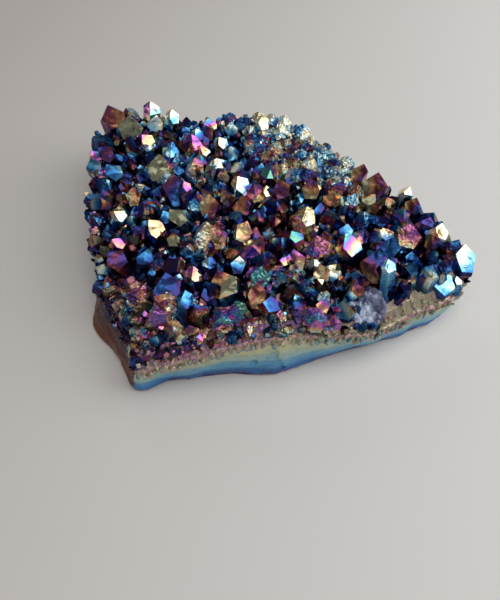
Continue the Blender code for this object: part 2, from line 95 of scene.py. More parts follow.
# x, y, radius, height of the point over the rock, lean, lean direction, direction of face 0, lesser faces held back,
# film thickness (None: by place), how rough (0 smooth, 1 broken)
STANDING = [
    (-39.0, 34.2, 3.9, 8.0, 24, 130, -60, 0.30, 0.17, 0),
    (-35.2, 28.1, 3.4, 6.0, 16, 75, -95, 0.45, 0.62, 0),
    (-30.2, 35.6, 2.6, 5.8, 20, 95, -70, 0.20, 0.78, 0),
    (-29.1, 29.2, 2.4, 5.4, 12, 20, -110, 0.15, 0.60, 0),
    (-24.2, 31.3, 2.1, 5.2, 20, 80, -40, 0.25, 0.55, 0),
    (-17.5, 22.2, 3.0, 5.8, 14, 100, -80, 0.20, 0.80, 0),
    (-28.2, 24.1, 2.5, 5.4, 10, 200, -30, 0.30, 0.76, 0),
    (-8.2, 23.3, 2.2, 5.0, 22, 150, -75, 0.35, 0.60, 0),
    (-24.7, 18.8, 2.5, 5.4, 18, 10, -120, 0.20, 0.33, 0),
    (-34.1, 13.3, 2.8, 5.4, 22, 185, -50, 0.30, 0.40, 0),
    (-36.6, 20.6, 2.6, 5.0, 34, 175, -100, 0.25, 0.12, 0),
    (-26.0, 12.1, 3.4, 6.2, 12, 60, -85, 0.15, 0.72, 0),
    (-3.1, 6.1, 2.2, 5.0, 18, 140, -65, 0.40, 0.56, 0),
    (-19.8, 4.6, 4.1, 7.0, 8, 110, -100, 0.35, 0.14, 0),
    (-0.6, 3.0, 2.0, 4.8, 16, 30, -45, 0.20, 0.55, 0),
    (0.3, 30.1, 2.2, 4.6, 26, 90, -90, 0.30, 0.66, 0),
    (-6.9, 28.9, 2.1, 4.6, 20, 120, -70, 0.20, 0.58, 0),
    (-12.6, -1.6, 2.8, 5.6, 14, 80, -88, 0.45, 0.68, 0),
    (-4.5, 2.1, 2.3, 5.2, 16, 260, -60, 0.25, 0.06, 0),
    (-16.4, -3.2, 2.5, 5.2, 24, 190, -105, 0.30, 0.64, 0),
    (-23.2, -7.6, 2.8, 5.6, 14, 150, -80, 0.20, 0.28, 0),
    (-25.4, -6.8, 2.3, 5.0, 18, 210, -40, 0.35, 0.12, 0),
    (-31.0, -2.8, 2.3, 5.2, 20, 170, -70, 0.25, 0.62, 0),
    (-20.6, -9.1, 2.3, 4.8, 12, 300, -95, 0.30, 0.08, 0),
    (-12.1, -8.7, 4.1, 6.4, 6, 60, -75, 0.10, 0.72, 1),
    (-6.7, -8.8, 2.5, 5.2, 20, 20, -100, 0.45, 0.78, 0),
    (26.5, 5.6, 3.3, 5.6, 20, 70, -80, 0.30, 0.06, 0),
    (22.9, 11.5, 2.3, 4.6, 26, 60, -60, 0.20, 0.68, 0),
    (32.3, 2.6, 2.1, 4.6, 24, 40, -50, 0.30, 0.55, 0),
    (33.9, -1.0, 2.4, 4.8, 22, 50, -95, 0.20, 0.13, 0),
    (12.2, 4.3, 2.8, 5.2, 14, 100, -110, 0.25, 0.72, 0),
    (13.1, 2.0, 2.2, 5.0, 20, 10, -70, 0.30, 0.67, 0),
    (6.3, 5.6, 2.6, 5.2, 16, 190, -85, 0.35, 0.07, 0),
    (10.3, -7.1, 2.9, 6.4, 18, 96, -92, 0.30, 0.60, 0.35),
    (20.5, -15.0, 3.3, 6.2, 16, 120, -62, 0.20, 0.80, 0),
    (32.1, -10.8, 2.8, 5.4, 14, 80, -86, 0.40, 0.82, 0.3),
    (29.0, -8.9, 2.6, 5.0, 24, 130, -70, 0.25, 0.62, 0.9),
    (37.4, -9.2, 2.2, 4.8, 26, 30, -50, 0.30, 0.56, 0),
    (37.2, -8.8, 2.2, 4.8, 16, 280, -80, 0.20, 0.05, 0),
    (36.3, -4.5, 2.1, 4.4, 30, 50, -100, 0.30, 0.14, 0),
    (43.9, -15.4, 3.2, 5.6, 24, 60, -62, 0.35, 0.50, 0),
    (40.2, -19.4, 3.4, 5.2, 10, 120, -66, 0.40, 0.47, 0),
    (37.6, -15.3, 1.7, 3.4, 24, 330, -75, 0.20, 0.16, 0),
    (38.8, -16.5, 2.0, 3.6, 14, 170, -95, 0.15, 0.95, 0.2),
    (24.0, -19.6, 3.6, 6.4, 17, 96, -90, 0.45, 0.33, 0),
    (26.3, -14.6, 2.8, 5.4, 20, 60, -110, 0.20, 0.86, 0),
    (12.9, -11.3, 3.1, 5.6, 12, 140, -80, 0.10, 0.70, 0.8),
    (8.1, -12.9, 2.5, 4.8, 20, 250, -60, 0.25, 0.88, 0),
    (14.1, -17.8, 2.0, 5.0, 18, 210, -90, 0.30, 0.72, 0),
    (13.5, -17.6, 2.0, 4.4, 14, 330, -70, 0.30, 0.74, 0),
    (7.5, -16.9, 2.5, 4.4, 22, 230, -95, 0.20, 0.96, 0.6),
    (-6.1, -19.9, 2.2, 4.8, 20, 80, -84, 0.30, 0.58, 0),
    (-6.4, -23.6, 3.3, 5.8, 14, 160, -74, 0.30, 0.74, 0),
    (-1.3, -22.6, 2.6, 4.8, 18, 270, -88, 0.25, 0.18, 0),
    (-0.8, -18.8, 3.1, 5.4, 8, 40, -100, 0.10, 0.84, 0.8),
    (-19.2, -26.1, 3.2, 5.6, 16, 110, -78, 0.30, 0.24, 0),
    (-17.9, -26.8, 2.1, 4.4, 20, 30, -64, 0.35, 0.42, 0),
    (-25.1, -21.4, 2.4, 4.4, 28, 240, -90, 0.20, 0.70, 0.5),
    (-19.6, -23.9, 2.4, 4.2, 26, 250, -70, 0.25, 0.72, 0.5),
    (-20.6, -27.2, 2.4, 3.6, 22, 220, -80, 0.15, 0.82, 0.8),
    (-8.6, -27.0, 2.5, 4.4, 26, 265, -92, 0.10, 0.84, 0.8),
    (10.1, -26.5, 2.5, 4.4, 30, 275, -86, 0.15, 0.83, 0.8),
    (13.3, -26.9, 2.1, 4.0, 34, 285, -78, 0.20, 0.82, 0.8),
    (-4.1, -27.0, 2.3, 4.6, 18, 200, -100, 0.20, 0.88, 0.6),
    (0.5, -24.6, 2.1, 4.6, 22, 290, -70, 0.30, 0.86, 0),
    (8.3, -29.4, 2.3, 3.6, 14, 120, -84, 0.25, 0.07, 0),
    (18.5, -21.0, 2.2, 4.4, 20, 300, -60, 0.30, 0.70, 0),
    (11.6, -26.5, 2.2, 4.4, 16, 60, -96, 0.25, 0.92, 0),
    (-29.2, -14.8, 2.8, 4.6, 22, 185, -70, 0.20, 0.14, 0),
    (-27.2, -13.7, 2.3, 4.6, 16, 320, -90, 0.30, 0.32, 0),
    (24.6, -20.6, 1.8, 7.2, 10, 20, -40, 0.30, 0.40, 0),
    (24.2, -28.0, 1.0, 1.6, 8, 90, -80, 0.20, 0.34, 0),
    (12.4, -20.6, 1.3, 5.0, 12, 250, -70, 0.20, 0.12, 0),
    (43.2, -18.0, 1.5, 3.2, 16, 40, -60, 0.25, 0.30, 0),
    (-19.4, 3.9, 1.6, 7.2, 10, 0, -60, 0.25, 0.78, 0),
]
BARE = (22.1, -24.0, 3.8)  # the patch where the coating has come off: x, y, radius

# Film of the chief face of a standing crystal, and what that face mirrors to the front:
# R the window on the right, r the same from a small face, B the window behind, C the dim room in front.
CHIEF = {
    0: (0.09, "C"), 1: (-0.12, "C"), 2: (0.56, "R"), 3: (0.50, "C"), 4: (0.51, "R"), 5: (0.79, "R"), 6: (0.72, "R"),
    7: (0.56, "R"), 8: (0.31, "R"), 9: (0.31, "C"), 10: (0.15, "C"), 11: (-0.08, "C"), 12: (0.54, "R"),
    13: (0.13, "C"), 14: (0.53, "R"), 15: (0.63, "R"), 16: (0.49, "C"), 17: (0.05, "C"), 18: (0.06, "C"),
    19: (-0.10, "C"), 20: (0.62, "r"), 21: (0.16, "C"), 22: (0.57, "R"), 23: (0.08, "C"), 25: (0.68, "C"),
    26: (0.085, "C"), 27: (0.07, "C"), 28: (0.54, "r"), 29: (0.12, "C"), 30: (0.14, "C"), 31: (0.05, "C"),
    32: (0.12, "C"), 33: (0.57, "r"), 34: (0.86, "R"), 35: (0.80, "C"), 37: (0.54, "R"), 38: (0.09, "C"),
    40: (0.54, "R"), 41: (0.54, "R"), 42: (0.17, "C"), 43: (0.34, "C"), 44: (0.28, "C"), 45: (0.25, "C"),
    47: (0.87, "C"), 48: (0.70, "C"), 49: (0.62, "C"), 51: (0.52, "C"), 52: (0.065, "C"), 53: (0.08, "C"),
    55: (0.24, "C"), 56: (0.37, "R"), 57: (0.04, "C"), 58: (0.09, "C"), 64: (0.38, "R"), 65: (0.14, "C"),
    66: (0.06, "C"), 68: (0.17, "C"), 69: (0.33, "C"), 70: (0.42, "R"), 71: (0.36, "r"), 72: (0.55, "R"), 73: (0.47, "r"),
    74: (0.74, "R"),
}
RIGHT_WINDOW = (0.33, -0.01, 0.21)
BACK_WINDOW = (-0.25, 0.85, 0.50)


def rim_curve(step):
    """Evenly spaced points round the lip."""
    curve = []
    count = len(RIM)
    for i in range(count):
        before, here, after, beyond = (RIM[(i + k) % count] for k in (-1, 0, 1, 2))
        for part in range(24):
            t = part / 24
            curve.append(
                tuple(
                    0.5
                    * (
                        2 * b
                        + (c - a) * t
                        + (2 * a - 5 * b + 4 * c - d) * t * t
                        + (3 * b - a - 3 * c + d) * t**3
                    )
                    for a, b, c, d in zip(before, here, after, beyond)
                )
            )
    lengths = [0.0]
    for a, b in zip(curve, curve[1:] + curve[:1]):
        lengths.append(lengths[-1] + math.hypot(b[0] - a[0], b[1] - a[1]))
    wanted = round(lengths[-1] / step)
    points, at = [], 0
    curve.append(curve[0])
    for i in range(wanted):
        goal = lengths[-1] * i / wanted
        while lengths[at + 1] < goal:
            at += 1
        t = (goal - lengths[at]) / max(1e-9, lengths[at + 1] - lengths[at])
        points.append(tuple(p + (q - p) * t for p, q in zip(curve[at], curve[at + 1])))
    return points


COARSE = np.array(rim_curve(2.0))
COARSE_NEXT = np.roll(COARSE, -1, axis=0)


def edge_distance(x, y):
    """Distance inside the lip, negative outside, the lip's height there, and the way out."""
    d = COARSE_NEXT[:, :2] - COARSE[:, :2]
    w = np.array([x, y]) - COARSE[:, :2]
    t = np.clip((w * d).sum(1) / (d * d).sum(1), 0, 1)
    off = w - d * t[:, None]
    away = np.hypot(off[:, 0], off[:, 1])
    k = int(away.argmin())
    a, b = COARSE[:, 1], COARSE_NEXT[:, 1]
    crosses = ((a > y) != (b > y)) & (
        x < COARSE[:, 0] + (y - a) / np.where(b == a, 1e-9, b - a) * d[:, 0]
    )
    inside = crosses.sum() % 2 == 1
    height = COARSE[k, 2] + t[k] * (COARSE_NEXT[k, 2] - COARSE[k, 2])
    out = Vector((d[k, 1], -d[k, 0])).normalized()
    return (away[k] if inside else -away[k]), height, out


def bed(x, y):
    away, lip, _ = edge_distance(x, y)
    return bed_at(x, y, away, lip)


def bed_at(x, y, away, lip):
    """Height of the rock's top under the crystals."""
    gentle = max(0.0, min(1.0, (26 - x) / 14)) * max(0.0, min(1.0, (-8 - y) / 12))
    t = max(0.0, min(1.0, away / (SLOPE_WIDTH[0] + (SLOPE_WIDTH[1] - SLOPE_WIDTH[0]) * gentle)))
    t = t * t * (3 - 2 * t)
    waves = noise.noise(Vector((x / 17, y / 17, 3.7))) * 1.1
    return lip + (BED_HEIGHT + waves - lip) * t


def fbm(x, y, z, octaves=4):
    value, size, share = 0.0, 1.0, 1.0
    for _ in range(octaves):
        value += share * noise.noise(Vector((x * size, y * size, z * size)))
        size *= 2.1
        share *= 0.5
    return value


# ------------------------------------------------------------------ the rock
def make_rock():
    """A closed block: dense broken sides, a rough underside that touches Z = 0, and a top that the crystals hide."""
    rim = rim_curve(0.55)
    n = len(rim)
    xy = np.array([(p[0], p[1]) for p in rim])
    along = np.roll(xy, -1, axis=0) - np.roll(xy, 1, axis=0)
    out = np.stack([along[:, 1], -along[:, 0]], 1)
    out /= np.linalg.norm(out, axis=1)[:, None]
    for _ in range(6):
        out = out + np.roll(out, 1, axis=0) + np.roll(out, -1, axis=0)
        out /= np.linalg.norm(out, axis=1)[:, None]
    middle = xy.mean(axis=0)
    rings, heights = [], []

    # underside, from the middle out
    for share, inset in ((0.12, 5.0), (0.3, 5.0), (0.5, 5.0), (0.7, 5.0), (0.86, 5.0), (0.97, 4.6), (1.0, 3.6), (1.0, 2.4), (1.0, 1.3), (1.0, 0.5)):
        ring = []
        for i, p in enumerate(rim):
            f = np.array([p[0], p[1]]) + out[i] * (-p[4] - inset)
            q = middle + (f - middle) * share
            pit = max(0.0, fbm(q[0] / 5.0, q[1] / 5.0, 0.3, 3)) * 0.5
            near = max(0.0, 1 - inset / 3.6) if share == 1.0 else 0.0
            ring.append((q[0], q[1], pit + near * near * p[3] * 0.8))
        rings.append(ring)
        heights.append(-1.0)
    # the broken side, from the lower edge to the lip
    rows = 26
    for r in range(rows + 1):
        h = r / rows
        ring = []
        for i, p in enumerate(rim):
            chip = max(0.0, noise.noise(Vector((p[0] / 4.5, p[1] / 4.5, 1.3)))) * 1.4
            chip += max(0.0, fbm(p[0] / 1.6, p[1] / 1.6, 4.1, 3)) * 0.7
            foot = p[3] + chip
            z = foot + (p[2] - foot) * h
            lean = -p[4] * (1 - h)
            # broad waves of the break, finer grain, and upright columns of quartz under the lip
            x, y = p[0], p[1]
            wave = 0.5 * noise.noise(Vector((x / 5.0, y / 5.0, z / 9.0 + 2)))
            layer = 0.24 * math.sin(z * 2.3 + 2.2 * noise.noise(Vector((x / 9.0, y / 9.0, 0.2)))) * (1 - h)
            column = (0.26 * fbm(x / 0.9, y / 0.9, z / 4.5, 3)) * max(0.0, (h - 0.35) / 0.65)
            grain = 0.12 * fbm(x / 0.8, y / 0.8, z / 0.8, 3)
            # one upright crack in the front face
            crack = 0.0
            if y < -30:
                line = x - 2.9 + 0.25 * (z - 7) + 0.5 * noise.noise(Vector((z / 2.0, 0.0, 0.0)))
                crack = -0.55 * math.exp(-((line / 0.22) ** 2)) * (1 if 0.12 < h < 0.95 else 0.3)
                crack += 0.28 * (1 / (1 + math.exp(-line / 0.15)) - 0.5) * math.exp(-abs(line) / 3.0)
                # a chip broken out beside it, and a nick further left
                crack -= 0.5 * max(0.0, 1 - abs(line + 0.9) / 0.9) * max(0.0, 1 - abs(z - 8.0) / 3.0)
                crack -= 0.6 * math.exp(-(((x + 2.0) / 0.35) ** 2) - ((z - 5.2) / 0.9) ** 2)
            round_off = -0.7 * max(0.0, (0.14 - h) / 0.14) ** 2 - 0.35 * max(0.0, (h - 0.93) / 0.07) ** 2
            push = lean + wave + layer + column + grain + crack + round_off
            ring.append((x + out[i, 0] * push, y + out[i, 1] * push, z))
        rings.append(ring)
        heights.append(h)
    # the top
    for share, inset in ((1.0, 0.4), (1.0, 0.8), (1.0, 1.3), (1.0, 1.9), (1.0, 2.6), (0.9, 2.6), (0.7, 2.6), (0.45, 2.6), (0.2, 2.6)):
        ring = []
        for i, p in enumerate(rim):
            q = np.array([p[0], p[1]]) - out[i] * inset
            q = middle + (q - middle) * share
            grain = 0.25 * fbm(q[0] / 1.1, q[1] / 1.1, 2.0, 3) + 0.12 * fbm(q[0] / 0.5, q[1] / 0.5, 7.0, 2)
            ring.append((q[0], q[1], bed(q[0], q[1]) - 0.2 + grain))
        rings.append(ring)
        heights.append(2.0)

    verts = [v for ring in rings for v in ring]
    low, high = len(verts), len(verts) + 1
    verts.append((middle[0], middle[1], 0.0))
    verts.append((middle[0], middle[1], bed(middle[0], middle[1])))
    faces = []
    for r in range(len(rings) - 1):
        for i in range(n):
            j = (i + 1) % n
            faces.append((r * n + i, r * n + j, (r + 1) * n + j, (r + 1) * n + i))
    top = (len(rings) - 1) * n
    for i in range(n):
        j = (i + 1) % n
        faces.append((low, j, i))
        faces.append((high, top + i, top + j))
    mesh = bpy.data.meshes.new("rock")
    mesh.from_pydata([(x * MM, y * MM, z * MM) for x, y, z in verts], [], faces)
    tag(mesh, 0)
    return mesh


def tag(mesh, number):
    layer = mesh.attributes.new("fid", "INT", "FACE")
    layer.data.foreach_set("value", [number] * len(mesh.polygons))


# ------------------------------------------------------------------ the crystals
def crystal_frame(spec):
    lean, lean_to = math.radians(spec["lean"]), math.radians(spec["lean_to"])
    turn = Matrix.Rotation(lean, 4, Vector((-math.sin(lean_to), math.cos(lean_to), 0)))
    root = Vector((spec["x"], spec["y"], spec["bed"] - ROOT_DEPTH * math.cos(lean)))
    return Matrix.Translation(root * MM) @ turn @ Matrix.Rotation(math.radians(spec["face_to"]), 4, "Z")


def aim(spec, mark):
    """Turn a crystal so that its face 0 mirrors the wanted light to the camera, changing its lean as little as may be."""
    m = crystal_frame(spec)
    axis = m.to_3x3() @ Vector((0, 0, 1))
    place = Vector((spec["x"] + SHIFT[0], spec["y"] + SHIFT[1], spec["bed"] + spec["height"])) * MM
    view = (CAMERA_AT - place).normalized()
    light = {"R": Vector(RIGHT_WINDOW), "B": Vector(BACK_WINDOW), "C": CAMERA_AT + Vector((0.0, -0.01, 0.03))}[mark.upper()]
    normal = (view + (light - place).normalized()).normalized()
    across = (axis - normal * axis.dot(normal)).normalized()
    slope = math.radians(FACE_ANGLE)
    axis = normal * math.cos(slope) + across * math.sin(slope)
    flat = (normal - axis * normal.dot(axis)).normalized()
    spec["lean"] = math.degrees(math.acos(max(-1.0, min(1.0, axis.z))))
    spec["lean_to"] = math.degrees(math.atan2(axis.y, axis.x))
    lean_to = math.radians(spec["lean_to"])
    turn = Matrix.Rotation(math.radians(spec["lean"]), 3, Vector((-math.sin(lean_to), math.cos(lean_to), 0)))
    local = turn.inverted() @ flat
    spec["face_to"] = math.degrees(math.atan2(local.y, local.x))
    # move the root, so that the middle of the face lies on the sight line on which the point lay
    length, radius = (spec["height"] + ROOT_DEPTH) * MM, spec["radius"] * MM
    was = m @ Vector((0, 0, length))
    now = crystal_frame(spec) @ Vector((0.45 * radius, 0, length - 0.57 * radius))
    sight = was - (CAMERA_AT - Vector((SHIFT[0], SHIFT[1], 0)) * MM)
    goal = was + sight * ((now.z - was.z) / sight.z)
    move = (goal - now) / MM
    move.z = 0
    if move.length > 3.0:
        move *= 3.0 / move.length
    for share in (1.0, 0.7, 0.4):
        if edge_distance(spec["x"] + move.x * share, spec["y"] + move.y * share)[0] > 0.4 * spec["radius"]:
            spec["x"] += move.x * share
            spec["y"] += move.y * share
            break


def make_crystal(spec, index):
    """A prism with six uneven sides, cut to a point by six planes. Faces carry index * 16 + face number."""
    bm = bmesh.new()
    dice = random.Random(spec["shape"])
    length = (spec["height"] + ROOT_DEPTH) * MM
    radius = spec["radius"] * MM
    bmesh.ops.create_cube(bm, size=2.0, matrix=Matrix.Diagonal((radius * 1.3, radius * 1.3, length, 1.0)))
    bmesh.ops.translate(bm, vec=(0, 0, length), verts=bm.verts)
    fid = bm.faces.layers.int.new("fid")
    for f in bm.faces:
        f[fid] = index * 16 + 12

    def cut(place, normal, number):
        done = bmesh.ops.bisect_plane(
            bm, geom=bm.verts[:] + bm.edges[:] + bm.faces[:], plane_co=place, plane_no=normal, clear_outer=True
        )
        rim = [e for e in done["geom_cut"] if isinstance(e, bmesh.types.BMEdge)]
        if len(rim) > 2:
            for f in bmesh.ops.edgeloop_fill(bm, edges=rim)["faces"]:
                f[fid] = index * 16 + number

    # the sides draw in a little towards the point, and no two crystals have the same cross section
    for k in range(6):
        turn = math.radians(60 * k)
        side = radius * 0.866 * dice.uniform(0.80, 1.12) * (spec["flatness"] if k % 3 == 1 else 1.0)
        normal = Vector((math.cos(turn), math.sin(turn), math.tan(math.radians(dice.uniform(0.5, 3.0)))))
        cut(Vector((math.cos(turn), math.sin(turn), 0)) * side + Vector((0, 0, length * 0.8)), normal, 6 + k)
    slope = math.radians(FACE_ANGLE)
    chief = dice.choice((0, 2, 4)) if dice.random() < 0.35 else -1
    if spec.get("aim"):
        chief = 0 if spec["aim"].isupper() else -1
    for k in range(6):
        turn = math.radians(60 * k)
        normal = Vector((math.sin(slope) * math.cos(turn), math.sin(slope) * math.sin(turn), math.cos(slope)))
        if k % 2 == 0:
            back = dice.uniform(-0.12, 0.18) - (dice.uniform(0.12, 0.34) * spec.get("broad", 1.0) if k == chief else 0.0)
        else:
            back = spec["held"] + dice.uniform(-0.14, 0.20)
        cut(Vector((0, 0, length)) + normal * back * radius, normal, k)
    bmesh.ops.remove_doubles(bm, verts=bm.verts, dist=0.000008)
    if spec.get("narrow_root"):
        bmesh.ops.bisect_plane(bm, geom=bm.verts[:] + bm.edges[:] + bm.faces[:],
                               plane_co=(0, 0, ROOT_DEPTH * 0.9 * MM), plane_no=(0, 0, 1))
        for v in bm.verts:
            if v.co.z < ROOT_DEPTH * 0.1 * MM:
                v.co.x *= 0.45
                v.co.y *= 0.45
    bmesh.ops.recalc_face_normals(bm, faces=bm.faces)
    if spec["rough"] > 0:
        break_up(bm, spec)
    bm.transform(crystal_frame(spec))
    mesh = bpy.data.meshes.new("crystal")
    bm.to_mesh(mesh)
    bm.free()
    return mesh


def break_up(bm, spec):
    """Stepped, chipped faces on a crystal that grew or broke unevenly."""
    bmesh.ops.triangulate(bm, faces=bm.faces)
    goal = (0.42 if spec["radius"] > 1.2 else 0.3) * MM
    for _ in range(5):
        long_edges = [e for e in bm.edges if e.calc_length() > goal and max(v.co.z for v in e.verts) > ROOT_DEPTH * 0.5 * MM]
        if not long_edges:
            break
        bmesh.ops.subdivide_edges(bm, edges=long_edges, cuts=1, use_grid_fill=False)
        bmesh.ops.triangulate(bm, faces=[f for f in bm.faces if len(f.verts) > 3])
    bm.normal_update()
    off = (spec["shape"] % 97) * 0.37
    push = {}
    for v in bm.verts:
        p = v.co / MM
        if p.z < ROOT_DEPTH * 0.6:
            continue
        steps = noise.voronoi(Vector((p.x * 1.1 + off, p.y * 1.1, p.z * 1.1)))[0]
        size = 0.30 - 0.8 * (steps[1] - steps[0])
        size += 0.34 * noise.noise(Vector((p.x * 2.3, p.y * 2.3 + off, p.z * 1.2)))
        push[v] = v.normal * size * 0.42 * spec["rough"] * MM
    for v, d in push.items():
        v.co += d


def fine_share(x, y):
    """1 in the sugary zone of fine pale crystals at the back right, 0 elsewhere."""
    return max(0.0, min(1.0, (x + y * 0.6 - 6) / 12)) * max(0.0, min(1.0, (y - 6) / 9))


def crystal_specs():
    dice = random.Random(7)
    specs = []

    def add(**spec):
        spec.setdefault("kind", "crowd")
        if spec["kind"] not in ("lip", "crust"):
            spec["narrow_root"] = edge_distance(spec["x"], spec["y"])[0] < 1.5 * spec["radius"] + 0.6
        spec.setdefault("shape", 1000 + len(specs))
        specs.append(spec)

    def bundle(parent, count, small, spread, drop):
        """Lesser points grown parallel to a larger crystal."""
        m = crystal_frame(parent).to_3x3()
        axis, side, ahead = m @ Vector((0, 0, 1)), m @ Vector((1, 0, 0)), m @ Vector((0, 1, 0))
        for _ in range(count):
            turn, far = dice.uniform(0, math.tau), parent["radius"] * spread * math.sqrt(dice.uniform(0.12, 1.0))
            off = (side * math.cos(turn) + ahead * math.sin(turn)) * far
            lower = parent["height"] * (1 - dice.uniform(*drop)) - 0.75 * far
            place = Vector((parent["x"], parent["y"], 0)) + off
            add(x=place.x, y=place.y, bed=parent["bed"] + off.z, radius=parent["radius"] * dice.uniform(*small),
                height=max(0.6, lower), lean=parent["lean"], lean_to=parent["lean_to"],
                face_to=parent["face_to"] + dice.uniform(-3, 3), held=dice.uniform(0.0, 0.4),
                flatness=dice.uniform(0.8, 1.0), film=parent["film"], rough=0.0, kind=parent["kind"],
                shape=parent["shape"] + dice.choice((0, 0, 1, 2)), twin=True)

    for i, (x, y, radius, height, lean, lean_to, face_to, held, film, rough) in enumerate(STANDING):
        add(x=x, y=y, radius=radius * 1.08, height=height + 0.5, lean=lean, lean_to=lean_to, face_to=face_to, held=held,
            flatness=0.96, shape=100 + 7 * i, bed=bed(x, y), film=film, rough=rough, kind="standing", number=i)
        if i in CHIEF:
            specs[-1]["chief_film"], specs[-1]["aim"] = CHIEF[i]
            specs[-1]["broad"] = 1.0 if CHIEF[i][1] == "C" or i in (12, 34, 35, 40, 41, 45, 56) else 0.3
            aim(specs[-1], CHIEF[i][1])
    taken = np.array([(s["x"], s["y"], s["radius"] / (1.0 if s.get("broad", 0) == 1.0 else 1.2)) for s in specs]
                     + [(BARE[0], BARE[1], BARE[2] * 0.95)]
                     + [(s["x"], s["y"] - 0.9 * s["radius"] - 0.9, 0.55 * s["radius"]) for s in specs
                        if s.get("broad", 0) == 1.0 and s["radius"] > 2.4])
    low, high = COARSE[:, :2].min(0), COARSE[:, :2].max(0)
    for size, tries in ((2.15, 2200), (1.85, 3000), (1.55, 3800), (1.3, 4800), (1.08, 6000), (0.86, 7500), (0.66, 9000)):
        for _ in range(tries):
            x, y = dice.uniform(low[0], high[0]), dice.uniform(low[1], high[1])
            radius = size * dice.uniform(0.9, 1.12)
            marks = [dice.random() for _ in range(11)]
            near_taken = np.hypot(taken[:, 0] - x, taken[:, 1] - y)
            if (near_taken < 0.76 * (radius + taken[:, 2])).any():
                continue
            away, _, out = edge_distance(x, y)
            if away < 0.3 + 0.3 * radius:
                continue
            if away < 3.6 + 0.4 * radius and out.y < -0.35 and x > 23:
                continue
            if away < 1.0 * radius + 1.1 and out.y < -0.35:
                continue
            fine = fine_share(x, y)
            front = front_share(x, y)
            knob = fine > 0.5 and radius > 1.35
            if radius > 2.45 - 1.0 * front or (fine > 0.15 and not knob and radius > 1.0):
                continue
            lean_size = abs((marks[0] + marks[1] + marks[2] - 1.5) * 26) + 4
            turn = math.tau * marks[3]
            lean = Vector((math.cos(turn), math.sin(turn))) * lean_size
            drift = [noise.noise(Vector((x / 11, y / 11, level))) for level in (2.2, 8.8)]
            lean += Vector(drift) * 18
            lean += out * max(0.0, 1 - away / 5.0) * 22
            tall = radius * (1.30 + 0.90 * marks[4]) + 0.95 + 1.0 * max(0.0, (1.7 - radius)) * marks[5]
            tall *= (1 - 0.35 * front) * (1 - (0.25 if knob else 0.35) * fine)
            if out.y < -0.2:
                tall *= 0.62 + 0.38 * min(1.0, away / 5.0)
            broken = knob or (radius > 1.1 and marks[9] < 0.08 + 0.55 * front)
            add(x=x, y=y, radius=radius * 1.24, height=tall, lean=min(48.0, lean.length * (1 - 0.5 * fine)),
                lean_to=math.degrees(math.atan2(lean.y, lean.x)), face_to=360 * marks[6], held=0.5 * marks[7],
                flatness=0.7 + 0.3 * marks[8], bed=bed(x, y) + 0.7 * fine, film=None, rough=0.9 if knob else 0.75 if broken else 0.0)
            taken = np.vstack([taken, (x, y, radius)])
            if broken:
                bundle(specs[-1], 14 if knob else 7, (0.16, 0.30) if knob else (0.22, 0.42), 1.0 if knob else 0.85, (-0.04, 0.22))
            elif radius > 1.3 and marks[10] < 0.45:
                bundle(specs[-1], 1 + int(marks[10] * 6), (0.35, 0.62), 0.95, (0.05, 0.3))
    for spec in [s for s in specs if s["kind"] == "standing"]:
        if spec["rough"] > 0.3:
            bundle(spec, int(10 + 12 * spec["rough"]), (0.16, 0.34), 0.95, (0.0, 0.2))
        elif spec["radius"] > 2.3 and "aim" not in spec and dice.random() < 0.55:
            bundle(spec, dice.choice((1, 2, 3)), (0.28, 0.5), 1.0, (0.12, 0.35))
    # the stump under the bare patch
    for k in range(70):
        turn, far = 2.4 * k, BARE[2] * 0.92 * math.sqrt(k / 70)
        x, y = BARE[0] + far * math.cos(turn), BARE[1] + far * 0.85 * math.sin(turn)
        add(x=x, y=y, radius=dice.uniform(0.6, 1.15) if k % 5 else 1.4, height=1.9 - 0.16 * far + dice.uniform(-0.35, 0.3),
            lean=dice.uniform(2, 22), lean_to=dice.uniform(0, 360), face_to=dice.uniform(0, 60), held=0.1, flatness=0.95,
            bed=bed(x, y), film=0.5, rough=0.5 if k % 3 == 0 else 0.0, kind="bare")
    # fine crust along the lip, wider at the front left
    rim = rim_curve(0.8)
    for i, p in enumerate(rim):
        a, b = rim[i - 1], rim[(i + 1) % len(rim)]
        out = Vector((b[1] - a[1], a[0] - b[0])).normalized()
        for row in range(8):
            inset = 0.15 + row * 0.55 + dice.uniform(-0.4, 0.4)
            along = dice.uniform(-0.5, 0.5)
            x = p[0] - out.x * inset - out.y * along
            y = p[1] - out.y * inset + out.x * along
            radius = dice.uniform(0.30, 0.66) + 0.03 * row
            turn = dice.uniform(0, math.tau)
            lean = out * (20 - 4 * row) + Vector((math.cos(turn), math.sin(turn))) * dice.uniform(0, 26)
            height, turned, held = dice.uniform(-0.05, 0.24) + 0.07 * row, dice.uniform(0, 360), dice.uniform(-0.1, 0.2)
            if row > 3 and front_share(x, y) < 0.25:
                continue
            if x > 14 and out.y < -0.35:
                if dice.random() < (0.15, 0.2, 0.4, 0.5)[min(row, 3)]:
                    continue
                radius, height = radius * 0.8, height * 0.6
            add(x=x, y=y, radius=radius, height=height, lean=lean.length,
                lean_to=math.degrees(math.atan2(lean.y, lean.x)), face_to=turned, held=held,
                flatness=0.92, bed=bed(x, y), film=None, rough=0.0, row=row,
                kind="lip" if out.y < -0.35 and not (x < -22 and out.x < -0.5) else "crust")
    return specs


def front_share(x, y):
    """1 in the worn, granular zone along the front lip and its left corner, 0 elsewhere."""
    away, _, out = edge_distance(x, y)
    band = max(0.0, min(1.0, (9.5 - away) / 5.0)) * max(0.0, min(1.0, -out.y * 2.2)) * max(0.0, min(1.0, (12 - x) / 10))
    narrow = max(0.0, min(1.0, (3.5 - away) / 2.0)) * max(0.0, min(1.0, -out.y * 2.2))
    corner = max(0.0, min(1.0, (-16 - x) / 7)) * max(0.0, min(1.0, (-16 - y) / 8))
    return max(band, corner, narrow * 0.8)


